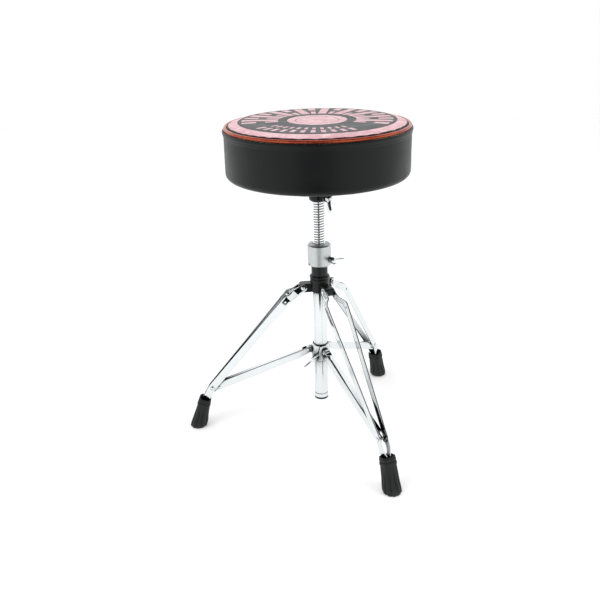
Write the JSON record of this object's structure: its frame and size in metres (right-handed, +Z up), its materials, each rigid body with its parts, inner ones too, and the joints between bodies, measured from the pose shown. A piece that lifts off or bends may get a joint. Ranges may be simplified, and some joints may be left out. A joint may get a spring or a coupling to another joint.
{
  "type": "drum throne",
  "caption": "Round padded drum seat on a threaded height spindle, carried by a double-braced folding tripod with rubber feet and wing-bolt locks.",
  "frame": {"origin": "on the axis of the centre tube, at floor level under the feet", "axes": "+Z up along the centre tube; one leg lies along -X, the other two at 60 degrees either side of +X"},
  "size_m": [0.4619, 0.5018, 0.6488],
  "materials": {
    "vinyl_top": "grained vinyl, printed",
    "vinyl_side": "smooth satin vinyl",
    "piping": "metallic copper vinyl cord",
    "foam": "open-cell foam",
    "plywood": "birch plywood",
    "dust_cloth": "non-woven cloth",
    "staple_steel": "bright",
    "zinc_steel": "zinc plated",
    "black_steel": "black powder coat",
    "black_casting": "gloss black",
    "chrome": "bright chrome plate",
    "screw_steel": "bright turned",
    "nylon": "natural",
    "dark_steel": "black oxide",
    "black_plastic": "gloss",
    "aluminium": "satin turned",
    "brass": "machined",
    "rubber": "matt moulded"
  },
  "bodies": {
    "column": {"centre_tube": "chrome", "tube_end_cap": "black_plastic", "spacer_sleeve": "black_plastic", "nut_block": "aluminium", "thread_insert": "brass", "block_set_screws": "dark_steel", "leg_hub": "black_casting", "hub_roll_pin": "dark_steel"},
    "guide": {"spindle_guide_bush": "nylon"},
    "spindle": {"threaded_spindle": "screw_steel", "guide_bush_washer": "zinc_steel", "guide_bush_screw": "dark_steel"},
    "seat": {"seat_top_cover": "vinyl_top", "seat_piping": "piping", "seat_side_cover": "vinyl_side", "seat_foam": "foam", "seat_board": "plywood", "seat_bottom_cloth": "dust_cloth", "seat_staples": "staple_steel", "seat_tee_nuts": "zinc_steel", "seat_plate": "black_steel", "seat_plate_bolts": "zinc_steel", "seat_receiver": "black_casting"},
    "seat_clamp": {"seat_clamp_bolt": "chrome"},
    "height_lock": {"height_lock_bolt": "chrome"},
    "collar": {"brace_collar": "chrome"},
    "collar_lock": {"collar_lock_bolt": "chrome"},
    "left_leg": {"left_leg_rail_a": "chrome", "left_leg_rail_b": "chrome", "left_pivot_rivet": "chrome", "left_brace_rivet": "chrome", "left_foot": "rubber"},
    "left_brace_arm": {"left_brace": "chrome", "left_collar_rivet": "chrome"},
    "front_leg": {"front_leg_rail_a": "chrome", "front_leg_rail_b": "chrome", "front_pivot_rivet": "chrome", "front_brace_rivet": "chrome", "front_foot": "rubber"},
    "front_brace_arm": {"front_brace": "chrome", "front_collar_rivet": "chrome"},
    "rear_leg": {"rear_leg_rail_a": "chrome", "rear_leg_rail_b": "chrome", "rear_pivot_rivet": "chrome", "rear_brace_rivet": "chrome", "rear_foot": "rubber"},
    "rear_brace_arm": {"rear_brace": "chrome", "rear_collar_rivet": "chrome"}
  },
  "joints": [
    {"name": "left_leg_fold", "type": "hinge", "parent": "column", "child": "left_leg", "pos_m": [-0.0325, 0, 0.323], "axis": [0, -1, 0], "range_deg": [0, 33]},
    {"name": "front_leg_fold", "type": "hinge", "parent": "column", "child": "front_leg", "pos_m": [0.01625, -0.02815, 0.323], "axis": [0.866, 0.5, 0], "range_deg": [0, 33]},
    {"name": "rear_leg_fold", "type": "hinge", "parent": "column", "child": "rear_leg", "pos_m": [0.01625, 0.02815, 0.323], "axis": [-0.866, 0.5, 0], "range_deg": [0, 33]},
    {"name": "collar_slide", "type": "slide", "parent": "column", "child": "collar", "axis": [0, 0, 1], "range_m": [0, 0.05929]},
    {"name": "left_brace_swing", "type": "hinge", "parent": "collar", "child": "left_brace_arm", "pos_m": [-0.024, 0, 0.1845], "axis": [0, -1, 0], "range_deg": [0, 53.77]},
    {"name": "front_brace_swing", "type": "hinge", "parent": "collar", "child": "front_brace_arm", "pos_m": [0.012, -0.02078, 0.1845], "axis": [0.866, 0.5, 0], "range_deg": [0, 53.77]},
    {"name": "rear_brace_swing", "type": "hinge", "parent": "collar", "child": "rear_brace_arm", "pos_m": [0.012, 0.02078, 0.1845], "axis": [-0.866, 0.5, 0], "range_deg": [0, 53.77]},
    {"name": "seat_lift", "type": "slide", "parent": "column", "child": "guide", "axis": [0, 0, 1], "range_m": [-0.06, 0.03]},
    {"name": "spindle_screw", "type": "hinge", "parent": "guide", "child": "spindle", "pos_m": [0, 0, 0.2], "axis": [0, 0, 1], "range_deg": [-4322, 2162]},
    {"name": "seat_swivel", "type": "hinge", "parent": "spindle", "child": "seat", "pos_m": [0, 0, 0.52], "axis": [0, 0, 1], "continuous": true},
    {"name": "seat_clamp_turn", "type": "hinge", "parent": "seat", "child": "seat_clamp", "pos_m": [0.01928, -0.02298, 0.508], "axis": [0.6428, -0.766, 0], "range_deg": [0, 720]},
    {"name": "height_lock_turn", "type": "hinge", "parent": "column", "child": "height_lock", "pos_m": [0.02741, -0.0122, 0.382], "axis": [0.9135, -0.4067, 0], "range_deg": [0, 720]},
    {"name": "collar_lock_turn", "type": "hinge", "parent": "collar", "child": "collar_lock", "pos_m": [-0.015, -0.02598, 0.172], "axis": [-0.5, -0.866, 0], "range_deg": [0, 720]}
  ],
  "couplings": [
    {"joint": "front_leg_fold", "follows": "left_leg_fold", "ratio": 1},
    {"joint": "rear_leg_fold", "follows": "left_leg_fold", "ratio": 1},
    {"joint": "collar_slide", "follows": "left_leg_fold", "m_per_rad": 0.10277},
    {"joint": "left_brace_swing", "follows": "left_leg_fold", "ratio": 1.6279},
    {"joint": "front_brace_swing", "follows": "left_leg_fold", "ratio": 1.6279},
    {"joint": "rear_brace_swing", "follows": "left_leg_fold", "ratio": 1.6279},
    {"joint": "spindle_screw", "follows": "seat_lift", "rad_per_m": 1256.6}
  ]
}
